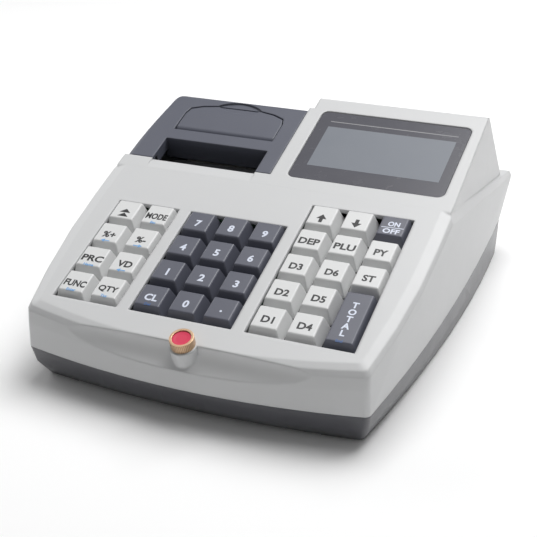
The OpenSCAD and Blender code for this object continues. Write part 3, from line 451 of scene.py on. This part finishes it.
def textMark(text, width, height):
    curve = bpy.data.curves.new("mark", "FONT")
    curve.body = text
    curve.resolution_u = 3
    curve.offset = legend["bold"]
    curve.extrude = 0.5
    source = bpy.data.objects.new("mark", curve)
    bpy.context.scene.collection.objects.link(source)
    bpy.context.view_layer.update()
    mesh = bpy.data.meshes.new_from_object(source.evaluated_get(bpy.context.evaluated_depsgraph_get()))
    bpy.data.objects.remove(source)
    bm = bmesh.new()
    bm.from_mesh(mesh)
    bpy.data.meshes.remove(mesh)
    xs = [v.co.x for v in bm.verts]
    ys = [v.co.y for v in bm.verts]
    tall = max(ys) - min(ys)
    wide = max(xs) - min(xs)
    middle = Vector(((max(xs) + min(xs)) / 2, (max(ys) + min(ys)) / 2, 0))
    bmesh.ops.translate(bm, vec=-middle, verts=bm.verts)
    bmesh.ops.scale(bm, vec=((width / wide if width else height / tall), height / tall, 1), verts=bm.verts)
    return bm


def turnMark(bm, angle):
    bmesh.ops.rotate(bm, matrix=Matrix.Rotation(math.radians(angle), 3, "Z"), verts=bm.verts)
    return bm


def triangleMark(angle, width, height):
    bm = bmesh.new()
    bmesh.ops.create_cone(bm, segments=3, radius1=1, radius2=1, depth=1, cap_ends=True)
    low = min(v.co.y for v in bm.verts)
    high = max(v.co.y for v in bm.verts)
    wide = max(v.co.x for v in bm.verts) * 2
    bmesh.ops.translate(bm, vec=(0, -(low + high) / 2, 0), verts=bm.verts)
    bmesh.ops.scale(bm, vec=(width / wide, height / (high - low), 1), verts=bm.verts)
    return turnMark(bm, angle)


def barMark(angle, width, height):
    bm = bmesh.new()
    bmesh.ops.create_cube(bm, size=1)
    bmesh.ops.scale(bm, vec=(width, height, 1), verts=bm.verts)
    return turnMark(bm, angle)


def dotMark(width):
    bm = bmesh.new()
    bmesh.ops.create_cone(bm, segments=16, radius1=width / 2, radius2=width / 2, depth=1, cap_ends=True)
    return bm


def addLegend(node, ink, marks):  # marks: a mesh and its place on the cap
    low, high = deckBox(node)
    middle = (low + high) / 2
    whole = bmesh.new()
    for bm, x, s in marks:
        bmesh.ops.scale(bm, vec=(1, 1, legend["thick"]), verts=bm.verts)
        lift = high.z + legend["thick"] / 2 - legend["sunk"]
        bmesh.ops.translate(bm, vec=(middle.x + x, middle.y + s, lift), verts=bm.verts)
        mesh = bpy.data.meshes.new("mark")
        bm.to_mesh(mesh)
        bm.free()
        whole.from_mesh(mesh)
        bpy.data.meshes.remove(mesh)
    bmesh.ops.scale(whole, vec=(mm, mm, mm), verts=whole.verts)
    bmesh.ops.transform(whole, matrix=deckMatrix, verts=whole.verts)
    bmesh.ops.remove_doubles(whole, verts=whole.verts, dist=1e-7)
    addObject(f"{node.replace('key_', 'legend_')}_{ink}", whole, ink, bodyOf[node])


legendX, legendS = legend["place"]
for node, text in capText.items():
    ink = "inkPale" if node in darkKeys else "inkDark"
    height = legend["digit"] if len(text) < 2 else legend["letter"]
    addLegend(node, ink, [(textMark(text, longLegend.get(text), height), legendX, legendS)])
pointMark = {"width": 1.3, "drop": 0.4}
addLegend("key_point", "inkPale", [(dotMark(pointMark["width"]), legendX, legendS - pointMark["drop"])])

arrow = {"s": legendS - 0.8, "width": 5.6, "head": 3.4, "headUp": 1.4, "stem": 2.0, "stemLong": 3.0,
         "stemDown": 1.6, "pairWidth": 6.4, "pairHigh": 2.9, "pairUp": 1.6}
addLegend("key_double_up", "inkDark",
          [(triangleMark(0, arrow["pairWidth"], arrow["pairHigh"]), legendX, arrow["s"] + up)
           for up in (arrow["pairUp"], -arrow["pairUp"])])
for node, angle, side in (("key_arrow_up", 0, 1), ("key_arrow_down", 180, -1)):
    headS = arrow["s"] + side * arrow["headUp"]
    stemS = arrow["s"] - side * arrow["stemDown"]
    addLegend(node, "inkDark", [(triangleMark(angle, arrow["width"], arrow["head"]), legendX, headS),
                                (barMark(0, arrow["stem"], arrow["stemLong"]), legendX, stemS)])

onOff = {"high": 3.5, "onWide": 6.3, "onUp": 2.9, "offWide": 8.9, "offUp": -2.5, "bar": (11.7, 0.45),
         "barTurn": 2, "barUp": 0.2}
addLegend("key_on_off", "inkPale",
          [(textMark("ON", onOff["onWide"], onOff["high"]), legendX, legendS + onOff["onUp"]),
           (barMark(onOff["barTurn"], *onOff["bar"]), legendX, legendS + onOff["barUp"]),
           (textMark("OFF", onOff["offWide"], onOff["high"]), legendX, legendS + onOff["offUp"])])

total = {"high": 3.9, "first": 8.9, "step": 4.7, "end": -15}
addLegend("key_total", "inkPale",
          [(textMark(letter, None, total["high"]), 0, total["first"] - total["step"] * i)
           for i, letter in enumerate("TOTAL")])

# small second functions under the legends
second = {"high": 1.8, "s": -5.3, "head": (2.4, 2.2), "headOut": 1.6, "bar": (3.0, 0.6), "barIn": 0.9}
for node, word in (("key_mode", "Esc"), ("key_prc", "Name"), ("key_func", "Enter"), ("key_qty", "Tax")):
    addLegend(node, "inkBlue", [(textMark(word, None, second["high"]), legendX, second["s"])])
for node, side in (("key_percent_plus", 1), ("key_percent_minus", -1), ("key_vd", 1)):
    addLegend(node, "inkBlue",
              [(triangleMark(90 * side, *second["head"]), legendX - second["headOut"] * side, second["s"]),
               (barMark(0, *second["bar"]), legendX + second["barIn"] * side, second["s"])])
addLegend("key_cl", "inkDeepBlue", [(textMark("Del", None, second["high"]), legendX, second["s"])])
addLegend("key_total", "inkDeepBlue", [(textMark("End", None, second["high"]), 0, total["end"])])
print("legends printed")

# housings: the large shells keep their facets, and the cover is bevelled where it meets the hump
housing = {"facetAngle": 1, "smoothAngle": 35, "seamX": -9, "seamWidth": 0.6, "seamSharp": 60,
           "flapWidth": 0.9}
dressed("top_shell", "upperHousing", nodeCopy("top_shell"), "shell",
        housing["facetAngle"])
dressed("base_shell", "lowerHousing", nodeCopy("base_shell"), "base",
        housing["smoothAngle"])


def onSeam(edge):
    middle = deckMiddle(edge)
    return sharpOut(edge, housing["seamSharp"]) and middle.x > housing["seamX"] and middle.z > 0


softCopy("printer_cover", "coverHousing", "cover", "cover_plastic", housing["seamWidth"], 3, onSeam,
         housing["facetAngle"])
softCopy("paper_lid", "paperFlap", "cover", "cover_plastic", housing["flapWidth"], 4, sharpOut)
print("housings made")

# display plates: a printed rim round a flat readout, and a pale strip along its upper edge as a painted
# reflection of the window's thickness
plateEdge = (0.4, 2)  # bevel width in mm, and segments
softCopy("display_window", "displayPlate", "rim", "window", *plateEdge, sharpOut)
readout = {"left": 7.4, "right": 5.8, "front": 11.9, "back": 13.3, "lift": 0.02, "thick": 0.06,
           "gap": 4.4, "line": 0.6}


def addPlate(name, finish, low, high):
    bm = bmesh.new()
    bmesh.ops.create_cube(bm, size=1)
    bmesh.ops.scale(bm, vec=(high - low) * mm, verts=bm.verts)
    bmesh.ops.translate(bm, vec=(high + low) / 2 * mm, verts=bm.verts)
    bmesh.ops.transform(bm, matrix=deckMatrix, verts=bm.verts)
    addObject(name, bm, finish, bodyOf["display_window"])


plateLow, plateHigh = deckBox("display_window")
panelTop = plateHigh.z + readout["lift"]
panelLow = Vector((plateLow.x + readout["left"], plateLow.y + readout["front"],
                   panelTop - readout["thick"]))
panelHigh = Vector((plateHigh.x - readout["right"], plateHigh.y - readout["back"], panelTop))
addPlate("readoutPanel", "readout", panelLow, panelHigh)
# a thin pale strip above the readout, painted as the reflection of the window's thickness
reflectionStart = panelHigh.y + readout["gap"]
addPlate("readoutReflectionStrip", "readoutReflection", Vector((panelLow.x, reflectionStart, panelLow.z)),
         Vector((panelHigh.x, reflectionStart + readout["line"], panelTop)))
softCopy("customer_window", "customerPlate", "rim", "window", *plateEdge, sharpOut)
print("display plates made")

# seal: a bevelled cup, and wax with a sunk ring
seal = {"cupBevel": 0.25, "inset": 1.5, "groove": 0.35, "depth": 0.3, "facing": 0.9, "smoothAngle": 40}
softCopy("seal_cup", "sealCup", "brass", "brass", seal["cupBevel"], 2, sharpOut)
wax = flatCopy("seal_wax")
waxTops = [f for f in wax.faces if f.normal.dot(deckNormal) > seal["facing"]]
waxTop = max(waxTops, key=lambda f: len(f.verts))
for inset, depth in ((seal["inset"], 0), (seal["groove"], -seal["depth"]), (seal["groove"], seal["depth"])):
    bmesh.ops.inset_region(wax, faces=[waxTop], thickness=inset * mm, depth=depth * mm)
dressed("seal_wax", "sealWax", wax, "wax", seal["smoothAngle"])
print("seal made")

# floor, light and background
stage = {"worldLight": 0.26, "floorSize": 4, "floorColour": (0.92, 0.92, 0.92, 1), "floorRough": 0.9,
         "aimHeight": 0.05}
world = bpy.data.worlds.new("studio")
bpy.context.scene.world = world
world.use_nodes = True
worldTree = world.node_tree
background = worldTree.nodes["Background"]
background.inputs["Color"].default_value = (1, 1, 1, 1)
background.inputs["Strength"].default_value = stage["worldLight"]
whiteBack = addNode(worldTree, "ShaderNodeBackground", Color=(1, 1, 1, 1), Strength=1.0)
mixBack = worldTree.nodes.new("ShaderNodeMixShader")
rays = worldTree.nodes.new("ShaderNodeLightPath")
worldTree.links.new(rays.outputs["Is Camera Ray"], mixBack.inputs["Fac"])
worldTree.links.new(background.outputs[0], mixBack.inputs[1])
worldTree.links.new(whiteBack.outputs[0], mixBack.inputs[2])
worldTree.links.new(mixBack.outputs[0], worldTree.nodes["World Output"].inputs["Surface"])

grid = bmesh.new()
bmesh.ops.create_grid(grid, x_segments=1, y_segments=1, size=stage["floorSize"])
floorMesh = bpy.data.meshes.new("floor")
grid.to_mesh(floorMesh)
grid.free()
floor = bpy.data.objects.new("floor", floorMesh)
bpy.context.scene.collection.objects.link(floor)
floorMaterial, _, floorShader = newMaterial("paleFloor")
floorShader.inputs["Base Color"].default_value = stage["floorColour"]
floorShader.inputs["Roughness"].default_value = stage["floorRough"]
floorMesh.materials.append(floorMaterial)

lamps = {  # place and size in metres, and watts
    "top": ((0.22, 0.42, 1.25), 1.0, 19),
    "right": ((1.3, 0.3, 0.4), 0.9, 0.5),
    "left": ((-1.3, 0.5, 0.8), 1.0, 5),
}
for name, (place, size, watts) in lamps.items():
    light = bpy.data.lights.new(name, "AREA")
    light.size = size
    light.energy = watts
    lamp = bpy.data.objects.new(name, light)
    lamp.location = place
    lamp.rotation_mode = "QUATERNION"
    aim = Vector((0, 0, stage["aimHeight"])) - Vector(place)
    lamp.rotation_quaternion = aim.to_track_quat("-Z", "Y")
    bpy.context.scene.collection.objects.link(lamp)

bpy.context.scene.view_settings.view_transform = "Standard"
print("stage and light set")
